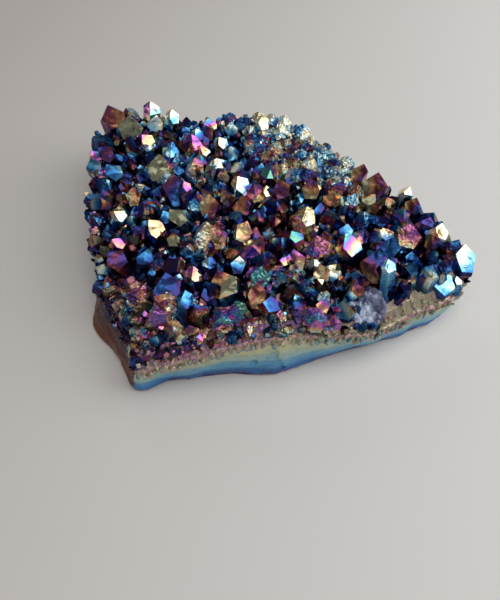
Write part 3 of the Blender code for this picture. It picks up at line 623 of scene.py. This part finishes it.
# ------------------------------------------------------------------ joining into closed skins
def union(a, b):
    first, second = bpy.data.objects.new("first", a), bpy.data.objects.new("second", b)
    for obj in (first, second):
        bpy.context.scene.collection.objects.link(obj)
    join = first.modifiers.new("join", "BOOLEAN")
    join.operation, join.solver, join.object = "UNION", "MANIFOLD", second
    graph = bpy.context.evaluated_depsgraph_get()
    joined = bpy.data.meshes.new_from_object(first.evaluated_get(graph))
    for obj in (first, second):
        bpy.data.objects.remove(obj, do_unlink=True)
    for mesh in (a, b):
        bpy.data.meshes.remove(mesh)
    return joined


def join_all(meshes):
    while len(meshes) > 1:
        pairs = [union(meshes[i], meshes[i + 1]) for i in range(0, len(meshes) - 1, 2)]
        meshes = pairs + meshes[len(pairs) * 2 :]
    return meshes[0]


SPECS = crystal_specs()
print("crystals", len(SPECS))


def part_of(spec):
    """Which stretch of the crust a crystal belongs to, by place; every stretch is one closed skin."""
    if spec["y"] < -12:
        return 0 if spec["x"] < -4 else 1
    if spec["x"] < -16:
        return 2
    return 3 if spec["y"] > 10 else 4


NAMES = ("front_left_crystals", "front_right_crystals", "left_crystals", "back_crystals", "middle_crystals")
groups = [[] for _ in NAMES]
for i in sorted(range(len(SPECS)), key=lambda i: (round(SPECS[i]["x"] / 7), SPECS[i]["y"])):
    groups[part_of(SPECS[i])].append(i)
meshes = [make_rock()] + [join_all([make_crystal(SPECS[i], i + 1) for i in group]) for group in groups]
pieces = []
for name, mesh in zip(("rock",) + NAMES, meshes):
    mesh.transform(Matrix.Translation((SHIFT[0] * MM, SHIFT[1] * MM, 0)))
    mesh.name = name
    piece = bpy.data.objects.new(name, mesh)
    bpy.context.scene.collection.objects.link(piece)
    pieces.append(piece)
    print(name, "triangles", sum(len(p.vertices) - 2 for p in mesh.polygons))


# ------------------------------------------------------------------ what each face carries
RNG = np.random.default_rng(11)
COUNT = len(SPECS) + 1
BASE = np.zeros(COUNT)
AXIS = np.zeros((COUNT, 3))
AXIS[0] = (0, 0, 1)
ORIGIN = np.zeros((COUNT, 3))
LENGTH = np.ones(COUNT)
ROUGH = np.zeros(COUNT)
LIP = np.zeros(COUNT, bool)
CRUST = np.zeros(COUNT, bool)
OPEN = np.ones(COUNT)  # less than 1 on a landmark crystal whose bright face stands clear of its neighbours: it weakens the recess mask there, so that face gets less thin film and less painted shade
IS_BARE = np.zeros(COUNT, bool)
FINE = np.zeros(COUNT)
FRONT = np.zeros(COUNT)
SLANT = RNG.normal(0, 1, (COUNT, 3))
# thickness of the film where it is even over a whole crystal, and how often
KINDS = ((0.055, 0.16), (0.14, 0.13), (0.295, 0.40), (0.43, 0.10), (0.61, 0.09), (0.82, 0.12))
for i, s in enumerate(SPECS, 1):
    m = crystal_frame(s)
    AXIS[i] = (m.to_3x3() @ Vector((0, 0, 1)))[:]
    ORIGIN[i] = (m.translation / MM)[:]
    LENGTH[i] = s["height"] + ROOT_DEPTH
    ROUGH[i] = max(s["rough"], 0.6 * fine_share(s["x"], s["y"]))
    FRONT[i] = front_share(s["x"], s["y"])
    LIP[i] = s["kind"] == "lip"
    CRUST[i] = s["kind"] == "crust" and s["x"] < -20
    IS_BARE[i] = s["kind"] == "bare"
    FINE[i] = fine_share(s["x"], s["y"])
    if s["film"] is None:
        x, y = s["x"], s["y"]
        drift = noise.noise(Vector((x / 13, y / 13, 20.5)))
        front = front_share(x, y)
        if LIP[i]:
            BASE[i] = 0.58 + (0.055 if x < 12 else 0.024) * min(s["row"], 5) + 0.09 * drift + RNG.normal(0, 0.05)
        elif s["kind"] == "crust" and x < -20:
            BASE[i] = RNG.choice((0.12, 0.17, 0.80), p=(0.6, 0.25, 0.15)) + RNG.normal(0, 0.03)
        elif RNG.random() < 0.8 * fine_share(x, y):
            BASE[i] = RNG.choice((0.39, 0.49, 0.57, 0.16), p=(0.28, 0.36, 0.26, 0.10)) + RNG.normal(0, 0.04)
        elif RNG.random() < 0.75 * front:
            BASE[i] = RNG.choice((0.80, 0.87, 0.42, 0.13, 0.94), p=(0.36, 0.24, 0.20, 0.12, 0.08)) + RNG.normal(0, 0.04)
        else:
            pick, total = RNG.random(), 0.0
            for middle, share in KINDS:
                total += share
                if pick < total:
                    break
            BASE[i] = middle + 0.07 * drift + RNG.normal(0, 0.03)
            s["film"] = BASE[i]
    else:
        BASE[i] = s["film"] + (RNG.normal(0, 0.05) if s.get("twin") else 0.0)
STEP = RNG.normal(0, 0.055, (COUNT, 16))
STEP[:, 12:] = 0
STEP *= 1 + 0.8 * FRONT[:, None]
FADE = np.full(COUNT, 0.28)  # how fast the film thins from the point down
for i, s in enumerate(SPECS, 1):
    if s["kind"] == "lip":
        FADE[i] = 0.08
    if "chief_film" in s:
        FADE[i] = 0.18
        OPEN[i] = 0.3 if s["aim"] == "R" else 1.0
        STEP[i] *= 0.6
        STEP[i, 0] = s["chief_film"] - BASE[i]
        SLANT[i] *= 0.7
        if s["number"] == 34:
            FADE[i] = 0.9


def paint(mesh):
    """Film thickness at every corner, the height along the crystal, how rough, how deep (the mask for the thin film and
    the painted shade between the crystals), and which finish.
    """
    count = len(mesh.polygons)
    fid = np.empty(count, np.int32)
    mesh.attributes["fid"].data.foreach_get("value", fid)
    normals = np.empty(count * 3, np.float32)
    mesh.polygons.foreach_get("normal", normals)
    normals = normals.reshape(-1, 3)
    centres = np.empty(count * 3, np.float32)
    mesh.polygons.foreach_get("center", centres)
    centres = centres.reshape(-1, 3) / MM - np.array([SHIFT[0], SHIFT[1], 0.0])
    totals = np.empty(count, np.int32)
    mesh.polygons.foreach_get("loop_total", totals)
    face_of = np.repeat(np.arange(count), totals)
    corner_vert = np.empty(len(mesh.loops), np.int32)
    mesh.loops.foreach_get("vertex_index", corner_vert)
    points = np.empty(len(mesh.vertices) * 3, np.float32)
    mesh.vertices.foreach_get("co", points)
    points = points.reshape(-1, 3) / MM - np.array([SHIFT[0], SHIFT[1], 0.0])
    places = points[corner_vert]
    beds = np.empty(len(points))
    aways = np.empty(len(points))
    outs = np.empty((len(points), 2))
    for k, (x, y) in enumerate(points[:, :2]):
        away, lip, out = edge_distance(x, y)
        aways[k], beds[k], outs[k] = away, bed_at(x, y, away, lip), (out.x, out.y)
    low, away, out = beds[corner_vert], aways[corner_vert], outs[corner_vert]

    crystal = fid // 16
    kind = fid % 16
    which = crystal[face_of]
    side = which == 0
    along = ((places - ORIGIN[which]) * AXIS[which]).sum(1)
    film = BASE[which] + STEP[crystal, kind][face_of]
    film += 0.08 * (normals[face_of, 2] - 0.5)
    film += FADE[which] * (along / LENGTH[which] - 0.8)
    film += 0.042 * ((places - ORIGIN[which] - AXIS[which] * LENGTH[which][:, None]) * SLANT[which]).sum(1)
    # deep between the crystals the film is thin and blue; the same mask carries the painted shade that the finishes
    # darken there
    recess_and_shade = np.clip(1 - (places[:, 2] - low) / 3.2, 0, 1) ** 1.15
    recess_and_shade = np.where(LIP[which], 0.25 * recess_and_shade, recess_and_shade * OPEN[which] * (1 - np.maximum(0.9 * FINE, 0.55 * FRONT)[which]))
    # the front-left corner of the crystals gets the same mask, so its film is thinner and it is darkened by painted
    # shade too
    corner = np.clip((-25 - places[:, 0]) / 5, 0, 1) * np.clip((-20 - places[:, 1]) / 8, 0, 1)
    recess_and_shade = np.maximum(recess_and_shade, 0.75 * corner * (~side))
    film = np.where(LIP[which] | CRUST[which], film, film * (1 - recess_and_shade) + 0.28 * recess_and_shade)
    # the rock's sides: thin at the foot, thick at the lip
    share = np.clip(places[:, 2] / np.maximum(low, 1.0), 0, 1.0)
    film = np.where(side, 0.10 + 0.66 * share, film)
    film = np.clip(film, -0.2, 1.12)
    top = side & (away > 0.5) & (places[:, 2] > low - 1.2)
    open_slope = top & (places[:, 0] > 13) & (out[:, 1] < -0.35) & (away < 4.6)
    film = np.where(top, np.where(open_slope, 0.62 + 0.018 * away, 0.74), film)
    flank = np.clip((-out[:, 0] - 0.55) * 4, 0, 1) * side

    for name, values in (
        ("film", film),
        ("axial", along),
        ("rough", np.where(side, (top & ~open_slope) * 0.7, ROUGH[which])),
        ("prism", ((kind >= 6) & (kind < 12) & (crystal > 0))[face_of].astype(float)),
        # on the rock the mask covers its top between the crystals, where the finish paints shade
        ("recess_and_shade", np.where(side, 0.5 * top, recess_and_shade)),
        ("flank", flank),
    ):
        layer = mesh.attributes.new(name, "FLOAT", "CORNER")
        layer.data.foreach_set("value", values.astype(np.float32))
    first = np.zeros(count, np.int64)
    first[1:] = np.cumsum(totals)[:-1]
    slots = np.where(crystal == 0, np.where((top & ~open_slope)[first], 0, 1), np.where(LIP[crystal], 1, 0))
    patch = np.hypot(centres[:, 0] - BARE[0], (centres[:, 1] - BARE[1]) * 1.15)
    wobble = np.array([noise.noise(Vector((c[0] * 0.5, c[1] * 0.5, 5.0))) for c in centres])
    slots = np.where((patch < BARE[2] * (0.95 + 0.25 * wobble)) & (centres[:, 2] > 8.5) & (crystal == 0), 2, slots)
    slots = np.where(IS_BARE[crystal], 2, slots)
    mesh.polygons.foreach_set("material_index", slots.astype(np.int32))
    mesh.update()


# ------------------------------------------------------------------ finishes
FILM = [
    (0.000, (0.234, 0.234, 0.151)),
    (0.035, (0.317, 0.202, 0.101)),
    (0.070, (0.302, 0.144, 0.069)),
    (0.110, (0.205, 0.064, 0.051)),
    (0.150, (0.139, 0.038, 0.073)),
    (0.195, (0.086, 0.038, 0.148)),
    (0.240, (0.042, 0.045, 0.200)),
    (0.295, (0.027, 0.080, 0.265)),
    (0.350, (0.040, 0.169, 0.415)),
    (0.405, (0.093, 0.335, 0.564)),
    (0.465, (0.289, 0.553, 0.659)),
    (0.525, (0.671, 0.777, 0.759)),
    (0.585, (0.816, 0.798, 0.587)),
    (0.645, (0.741, 0.591, 0.301)),
    (0.700, (0.649, 0.376, 0.200)),
    (0.750, (0.620, 0.241, 0.268)),
    (0.805, (0.577, 0.155, 0.428)),
    (0.860, (0.314, 0.129, 0.499)),
    (0.910, (0.103, 0.191, 0.516)),
    (0.955, (0.095, 0.412, 0.500)),
    (1.000, (0.191, 0.490, 0.367)),
]


def link(tree, a, b):
    tree.links.new(a, b)


def attribute(tree, name):
    node = tree.nodes.new("ShaderNodeAttribute")
    node.attribute_name = name
    return node.outputs["Fac"]


def math_node(tree, operation, *inputs, clamp=False):
    node = tree.nodes.new("ShaderNodeMath")
    node.operation = operation
    node.use_clamp = clamp
    for socket, value in zip(node.inputs, inputs):
        if isinstance(value, (int, float)):
            socket.default_value = value
        else:
            link(tree, value, socket)
    return node.outputs[0]


def noise_node(tree, scale, detail=4.0, roughness=0.6, distortion=0.0, vector=None):
    node = tree.nodes.new("ShaderNodeTexNoise")
    node.inputs["Scale"].default_value = scale
    node.inputs["Detail"].default_value = detail
    node.inputs["Roughness"].default_value = roughness
    node.inputs["Distortion"].default_value = distortion
    link(tree, vector, node.inputs["Vector"])
    return node.outputs["Fac"]


def ramp_node(tree, fac, stops, mode="LINEAR"):
    node = tree.nodes.new("ShaderNodeValToRGB")
    node.color_ramp.interpolation = mode
    elements = node.color_ramp.elements
    while len(elements) > 1:
        elements.remove(elements[-1])
    elements[0].position = stops[0][0]
    elements[0].color = (*stops[0][1], 1.0)
    for place, colour in stops[1:]:
        elements.new(place).color = (*colour, 1.0)
    link(tree, fac, node.inputs["Fac"])
    return node.outputs["Color"]


def mix_colour(tree, fac, a, b, mode="MIX"):
    node = tree.nodes.new("ShaderNodeMix")
    node.data_type = "RGBA"
    node.blend_type = mode
    for socket, value in ((node.inputs["Factor"], fac), (node.inputs["A"], a), (node.inputs["B"], b)):
        pass
    sockets = {"fac": node.inputs[0], "a": node.inputs[6], "b": node.inputs[7]}
    for key, value in (("fac", fac), ("a", a), ("b", b)):
        if isinstance(value, (int, float)):
            sockets[key].default_value = value
        elif isinstance(value, tuple):
            sockets[key].default_value = (*value, 1.0)
        else:
            link(tree, value, sockets[key])
    return node.outputs[2]


def new_material(name):
    material = bpy.data.materials.new(name)
    material.use_nodes = True
    tree = material.node_tree
    shader = tree.nodes["Principled BSDF"]
    place = tree.nodes.new("ShaderNodeTexCoord").outputs["Object"]
    return material, tree, shader, place


def bump_node(tree, height, strength, distance, normal=None):
    node = tree.nodes.new("ShaderNodeBump")
    node.inputs["Strength"].default_value = strength
    node.inputs["Distance"].default_value = distance
    link(tree, height, node.inputs["Height"])
    if normal is not None:
        link(tree, normal, node.inputs["Normal"])
    return node.outputs["Normal"]


def coated_crystal():
    material, tree, shader, place = new_material("coated_crystal")
    film, rough = attribute(tree, "film"), attribute(tree, "rough")
    axial, prism = attribute(tree, "axial"), attribute(tree, "prism")
    # slow drift of the film over a crystal, and fine mottling; broken crystals are mottled far more
    slow = math_node(tree, "SUBTRACT", noise_node(tree, 380, 2.0, 0.5, 0.4, place), 0.5)
    fine = math_node(tree, "SUBTRACT", noise_node(tree, 1500, 4.0, 0.65, 0.3, place), 0.5)
    grain = math_node(tree, "SUBTRACT", noise_node(tree, 2600, 3.0, 0.7, 0.0, place), 0.5)
    total = math_node(tree, "ADD", film, math_node(tree, "MULTIPLY", slow, 0.32))
    total = math_node(tree, "ADD", total, math_node(tree, "MULTIPLY", fine, 0.05))
    total = math_node(tree, "ADD", total, math_node(tree, "MULTIPLY", math_node(tree, "MULTIPLY", grain, rough), 0.5))
    colour = ramp_node(tree, total, FILM)
    # painted shade: deep between the crystals the colour is darkened toward a near-black navy
    recess_shade = math_node(tree, "MULTIPLY", attribute(tree, "recess_and_shade"), 0.62)
    link(tree, mix_colour(tree, recess_shade, colour, (0.018, 0.036, 0.080)), shader.inputs["Base Color"])
    shader.inputs["Metallic"].default_value = 1.0
    # gloss varies; growth lines cross the prism faces
    gloss = math_node(tree, "MULTIPLY_ADD", fine, 0.16, 0.15)
    gloss = math_node(tree, "MULTIPLY_ADD", rough, 0.18, gloss, clamp=True)
    link(tree, gloss, shader.inputs["Roughness"])
    wobble = math_node(tree, "MULTIPLY", noise_node(tree, 900, 2.0, 0.5, 0.0, place), 2.6)
    lines = math_node(tree, "SINE", math_node(tree, "ADD", math_node(tree, "MULTIPLY", axial, 17.0), wobble))
    lines = math_node(tree, "MULTIPLY", lines, math_node(tree, "MULTIPLY_ADD", prism, 0.75, 0.10))
    hills = noise_node(tree, 700, 3.0, 0.55, 1.2, place)
    height = math_node(tree, "MULTIPLY_ADD", lines, 0.16, hills)
    height = math_node(tree, "ADD", height, math_node(tree, "MULTIPLY", math_node(tree, "MULTIPLY", grain, rough), 1.6))
    # the faces are a little curved, not ideal planes
    curved = bump_node(tree, noise_node(tree, 330, 1.0, 0.5, 0.2, place), 1.0, 0.0007)
    link(tree, bump_node(tree, height, 0.5, 0.00016, curved), shader.inputs["Normal"])
    return material


def coated_rock():
    material, tree, shader, place = new_material("coated_rock")
    film = attribute(tree, "film")
    # bands follow the height, with a wavy edge; the top third is granular quartz
    stretch = tree.nodes.new("ShaderNodeMapping")
    stretch.inputs["Scale"].default_value = (1.0, 1.0, 5.0)
    link(tree, place, stretch.inputs["Vector"])
    wave = math_node(tree, "SUBTRACT", noise_node(tree, 130, 3.0, 0.55, 0.3, place), 0.5)
    streak = math_node(tree, "SUBTRACT", noise_node(tree, 160, 5.0, 0.7, 0.0, stretch.outputs["Vector"]), 0.5)
    grain = math_node(tree, "SUBTRACT", noise_node(tree, 2200, 4.0, 0.7, 0.0, place), 0.5)
    top = math_node(tree, "MULTIPLY", math_node(tree, "SUBTRACT", film, 0.45), 3.2, clamp=True)
    total = math_node(tree, "ADD", film, math_node(tree, "MULTIPLY", wave, 0.16))
    total = math_node(tree, "ADD", total, math_node(tree, "MULTIPLY", streak, 0.16))
    total = math_node(tree, "ADD", total, math_node(tree, "MULTIPLY", math_node(tree, "MULTIPLY", grain, math_node(tree, "ADD", top, 0.15)), 0.28))
    colour = ramp_node(
        tree,
        total,
        [
            (0.07, (0.070, 0.035, 0.090)),
            (0.12, (0.110, 0.070, 0.180)),
            (0.17, (0.060, 0.150, 0.400)),
            (0.26, (0.075, 0.270, 0.580)),
            (0.35, (0.170, 0.430, 0.640)),
            (0.44, (0.360, 0.560, 0.590)),
            (0.53, (0.540, 0.620, 0.460)),
            (0.62, (0.720, 0.680, 0.400)),
            (0.70, (0.740, 0.560, 0.420)),
            (0.77, (0.760, 0.440, 0.520)),
            (0.86, (0.560, 0.330, 0.620)),
        ],
    )
    # the side turned to the left gets a darker warm-brown ramp: partly its own tone, partly painted shade of the side
    # turned away from the lights
    flank_colour_and_shade = ramp_node(
        tree,
        math_node(tree, "MULTIPLY_ADD", streak, 0.5, total),
        [(0.10, (0.300, 0.110, 0.040)), (0.28, (0.190, 0.070, 0.045)), (0.50, (0.110, 0.050, 0.055)), (0.70, (0.035, 0.030, 0.065)), (0.85, (0.120, 0.050, 0.080))],
    )
    colour = mix_colour(tree, attribute(tree, "flank"), colour, flank_colour_and_shade)
    # painted shade: the rock's top between the crystals is darkened, in a grainy pattern
    gap_shade = math_node(tree, "MULTIPLY_ADD", grain, 1.6, 1.0)
    gap_shade = math_node(tree, "MULTIPLY", math_node(tree, "MULTIPLY", attribute(tree, "recess_and_shade"), gap_shade), 1.1, clamp=True)
    colour = mix_colour(tree, gap_shade, colour, (0.110, 0.080, 0.085))
    link(tree, colour, shader.inputs["Base Color"])
    shader.inputs["Metallic"].default_value = 0.55
    link(tree, math_node(tree, "MULTIPLY_ADD", grain, 0.25, 0.38), shader.inputs["Roughness"])
    height = math_node(tree, "MULTIPLY_ADD", grain, 0.5, noise_node(tree, 420, 5.0, 0.65, 0.5, place))
    height = math_node(tree, "MULTIPLY_ADD", streak, 0.9, height)
    link(tree, bump_node(tree, height, 0.6, 0.0003), shader.inputs["Normal"])
    return material


def bare_quartz():
    material, tree, shader, place = new_material("bare_quartz")
    cloud = noise_node(tree, 330, 4.0, 0.6, 0.8, place)
    bruise = noise_node(tree, 210, 5.0, 0.7, 0.4, place)
    colour = ramp_node(tree, cloud, [(0.30, (0.050, 0.055, 0.110)), (0.46, (0.160, 0.175, 0.290)), (0.68, (0.400, 0.430, 0.600))])
    split = tree.nodes.new("ShaderNodeSeparateXYZ")
    link(tree, place, split.inputs[0])
    off_x = math_node(tree, "MULTIPLY_ADD", split.outputs[0], -230.0, 230.0 * (BARE[0] + SHIFT[0]) * MM)
    off_y = math_node(tree, "MULTIPLY_ADD", split.outputs[1], -230.0, 230.0 * (BARE[1] + SHIFT[1]) * MM)
    lean = math_node(tree, "ADD", off_x, off_y)
    white = math_node(tree, "ADD", math_node(tree, "MULTIPLY", math_node(tree, "SUBTRACT", bruise, 0.56), 7.0), lean)
    white = math_node(tree, "MULTIPLY", white, 1.6, clamp=True)
    link(tree, mix_colour(tree, white, colour, (0.70, 0.78, 0.95)), shader.inputs["Base Color"])
    shader.inputs["Metallic"].default_value = 0.0
    shader.inputs["IOR"].default_value = 1.55
    link(tree, math_node(tree, "MULTIPLY_ADD", white, 0.4, 0.16), shader.inputs["Roughness"])
    height = noise_node(tree, 900, 5.0, 0.65, 0.6, place)
    link(tree, bump_node(tree, height, 0.5, 0.0002), shader.inputs["Normal"])
    return material


finishes = (coated_crystal(), coated_rock(), bare_quartz())
for piece in pieces:
    piece.data.materials.clear()
    paint(piece.data)
    for material in finishes:
        piece.data.materials.append(material)
    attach(piece, "root")
    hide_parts("druzy_cluster")


# ------------------------------------------------------------------ floor, light, camera
def make_floor():
    bm = bmesh.new()
    bmesh.ops.create_grid(bm, x_segments=8, y_segments=8, size=3.0)
    mesh = bpy.data.meshes.new("floor")
    bm.to_mesh(mesh)
    bm.free()
    mesh.transform(Matrix.Translation((0, 0, -0.00002)))
    floor = bpy.data.objects.new("floor", mesh)
    bpy.context.scene.collection.objects.link(floor)
    material, tree, shader, place = new_material("pale_floor")
    # painted light: the floor is lighter towards the right and front and darker towards the left and back, standing in
    # for the fall-off of the light from the right; the noise adds a gentle uneven tone
    cloud = noise_node(tree, 2.0, 3.0, 0.5, 0.0, place)
    split = tree.nodes.new("ShaderNodeSeparateXYZ")
    link(tree, place, split.inputs[0])
    across = math_node(tree, "MULTIPLY_ADD", split.outputs[0], 3.2, 0.42)
    across = math_node(tree, "MULTIPLY_ADD", split.outputs[1], -0.9, across)
    across = math_node(tree, "MULTIPLY_ADD", cloud, 0.2, across, clamp=True)
    floor_light_falloff = ramp_node(tree, across, [(0.1, (0.62, 0.565, 0.515)), (0.5, (0.75, 0.715, 0.675)), (0.9, (0.85, 0.84, 0.80))])
    link(tree, floor_light_falloff, shader.inputs["Base Color"])
    shader.inputs["Roughness"].default_value = 0.75
    mesh.materials.append(material)


def area_light(name, place, aim, size, power, colour=(1, 1, 1), size_y=None):
    light = bpy.data.lights.new(name, "AREA")
    light.shape = "RECTANGLE"
    light.size = size
    light.size_y = size_y or size
    light.energy = power
    light.color = colour
    obj = bpy.data.objects.new(name, light)
    bpy.context.scene.collection.objects.link(obj)
    obj.location = place
    obj.rotation_euler = (Vector(aim) - Vector(place)).to_track_quat("-Z", "Y").to_euler()
    return obj


make_floor()
area_light("window_right", RIGHT_WINDOW, (0, 0, 0.01), 0.28, 0.27, (1.0, 0.985, 0.965))
area_light("key_right", (0.39, 0.06, 0.34), (0, 0, 0.01), 0.42, 0.78, (1.0, 0.99, 0.975))
area_light("window_back", BACK_WINDOW, (0, 0, 0.01), 0.34, 0.7, (0.95, 0.97, 1.0))
area_light("soft_top", (0.10, -0.12, 1.05), (0, 0, 0.01), 0.9, 3.7, (1.0, 0.99, 0.97))
area_light("soft_front", (0.15, -0.75, 1.0), (0, 0, 0.01), 1.1, 1.4, (1.0, 0.99, 0.97))
world = bpy.data.worlds.new("studio")
world.use_nodes = True
world.node_tree.nodes["Background"].inputs["Color"].default_value = (0.80, 0.88, 1.0, 1.0)
world.node_tree.nodes["Background"].inputs["Strength"].default_value = 0.15
bpy.context.scene.world = world

camera_data = bpy.data.cameras.new("camera")
camera_data.sensor_fit = "HORIZONTAL"
camera_data.sensor_width = 36.0
camera_data.lens = 540 / 500 * 36.0
camera_data.clip_start = 0.001
camera_data.clip_end = 20.0
camera = bpy.data.objects.new("camera", camera_data)
bpy.context.scene.collection.objects.link(camera)
camera.location = CAMERA_AT
camera.rotation_euler = (math.radians(90 - 54.5), 0, 0)
bpy.context.scene.camera = camera
bpy.context.scene.view_settings.view_transform = "Standard"

bpy.context.view_layer.update()
